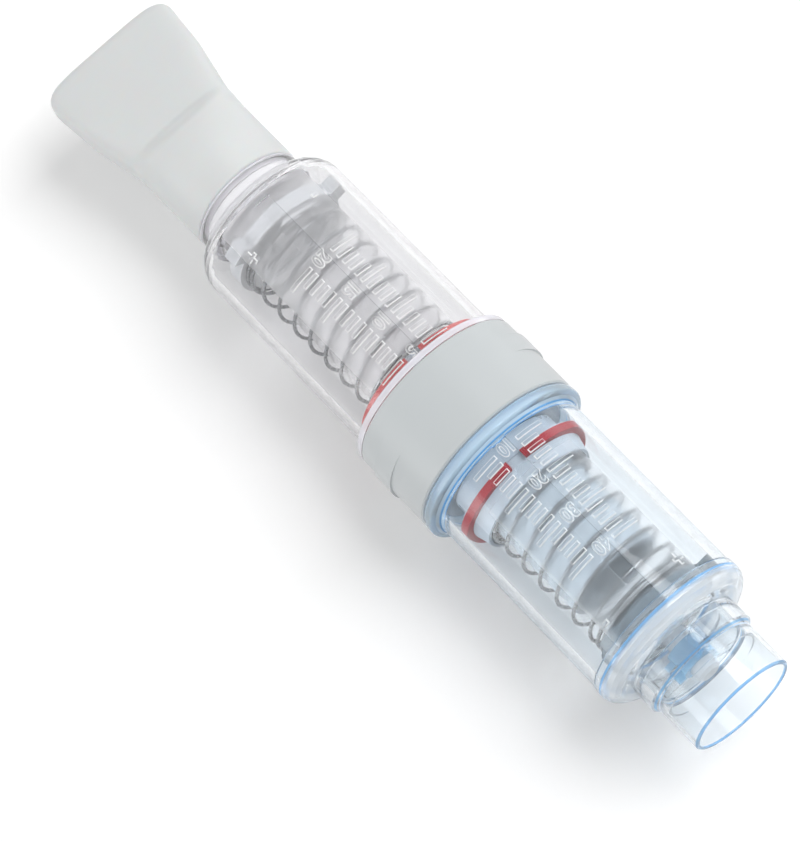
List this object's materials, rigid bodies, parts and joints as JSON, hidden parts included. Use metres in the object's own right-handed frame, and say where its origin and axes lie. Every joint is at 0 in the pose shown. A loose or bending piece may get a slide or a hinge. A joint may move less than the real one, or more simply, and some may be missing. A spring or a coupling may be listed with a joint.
{
  "type": "breathing trainer",
  "caption": "Two-barrel spring-valve breathing trainer: soft mouthpiece, clear and blue-tinted barrels with turning scales, grey grip band and open outlet.",
  "frame": {"origin": "centre of the rim of the outlet socket, on the axis of the trainer", "axes": "+X along the axis, out of the outlet and away from the mouth; +Z from the axis through the number line of both barrels; the flat of the mouthpiece faces +Z"},
  "size_m": [0.1932, 0.0404, 0.0396],
  "materials": {
    "soft_grey": "soft matte silicone, slightly translucent",
    "clear_plastic": "clear moulded plastic, frosted along the number strip",
    "blue_plastic": "blue-tinted clear moulded plastic, frosted along the number strip",
    "band_grey": "smooth satin moulded plastic",
    "core_grey": "satin moulded plastic",
    "light_grey": "satin moulded plastic",
    "valve_grey": "satin moulded plastic",
    "seal_silicone": "soft translucent silicone",
    "black_rubber": "matte",
    "steel": "polished spring wire",
    "light_red": "satin moulded plastic",
    "dark_red": "satin moulded plastic"
  },
  "bodies": {
    "root": {"grip_band": "band_grey", "lead_screw_core": "core_grey", "pep_o_ring": "black_rubber", "imt_o_ring": "black_rubber"},
    "pep_barrel": {"pep_barrel": "clear_plastic", "pep_guide_spider": "clear_plastic", "pep_retaining_ring": "steel"},
    "imt_barrel": {"imt_barrel": "blue_plastic", "imt_end_cap": "blue_plastic", "imt_guide_spider": "blue_plastic", "imt_retaining_ring": "steel"},
    "mouthpiece": {"mouthpiece": "soft_grey"},
    "pep_traveller": {"pep_traveller": "light_grey", "pep_indicator_ring": "light_red"},
    "imt_traveller": {"imt_traveller": "light_grey", "imt_indicator_ring": "dark_red"},
    "pep_valve": {"pep_valve_disc": "valve_grey", "pep_seat_seal": "seal_silicone", "pep_stem_clip": "steel", "pep_spring": "steel"},
    "imt_valve": {"imt_valve_disc": "valve_grey", "imt_seat_seal": "seal_silicone", "imt_stem_clip": "steel", "imt_spring": "steel"},
    "pep_flap": {"pep_check_flap": "seal_silicone"},
    "imt_flap": {"imt_check_flap": "seal_silicone"}
  },
  "joints": [
    {"name": "pep_barrel_turn", "type": "hinge", "parent": "root", "child": "pep_barrel", "pos_m": [-0.0792, 0, 0], "axis": [1, 0, 0], "range_deg": [0, 327.6]},
    {"name": "imt_barrel_turn", "type": "hinge", "parent": "root", "child": "imt_barrel", "pos_m": [-0.0792, 0, 0], "axis": [1, 0, 0], "range_deg": [-300.3, 0]},
    {"name": "pep_traveller_slide", "type": "slide", "parent": "pep_barrel", "child": "pep_traveller", "axis": [-1, 0, 0], "range_m": [0, 0.0273], "deforming": ["pep_spring"]},
    {"name": "imt_traveller_slide", "type": "slide", "parent": "imt_barrel", "child": "imt_traveller", "axis": [1, 0, 0], "range_m": [0, 0.02502], "deforming": ["imt_spring"]},
    {"name": "mouthpiece_pull", "type": "slide", "parent": "pep_barrel", "child": "mouthpiece", "axis": [-1, 0, 0], "range_m": [0, 0.018]},
    {"name": "pep_valve_lift", "type": "slide", "parent": "pep_barrel", "child": "pep_valve", "axis": [1, 0, 0], "range_m": [0, 0.003], "stiffness_N_per_m": 11, "springref_m": -0.0145, "deforming": ["pep_spring"]},
    {"name": "imt_valve_lift", "type": "slide", "parent": "imt_barrel", "child": "imt_valve", "axis": [-1, 0, 0], "range_m": [0, 0.003], "stiffness_N_per_m": 21, "springref_m": -0.022, "deforming": ["imt_spring"]},
    {"name": "pep_flap_lift", "type": "slide", "parent": "pep_valve", "child": "pep_flap", "axis": [-1, 0, 0], "range_m": [0, 0.001], "stiffness_N_per_m": 5, "springref_m": -0.002},
    {"name": "imt_flap_lift", "type": "slide", "parent": "imt_valve", "child": "imt_flap", "axis": [1, 0, 0], "range_m": [0, 0.001], "stiffness_N_per_m": 5, "springref_m": -0.002}
  ],
  "couplings": [
    {"joint": "pep_traveller_slide", "follows": "pep_barrel_turn", "m_per_rad": 0.0047747},
    {"joint": "imt_traveller_slide", "follows": "imt_barrel_turn", "m_per_rad": -0.0047747}
  ]
}
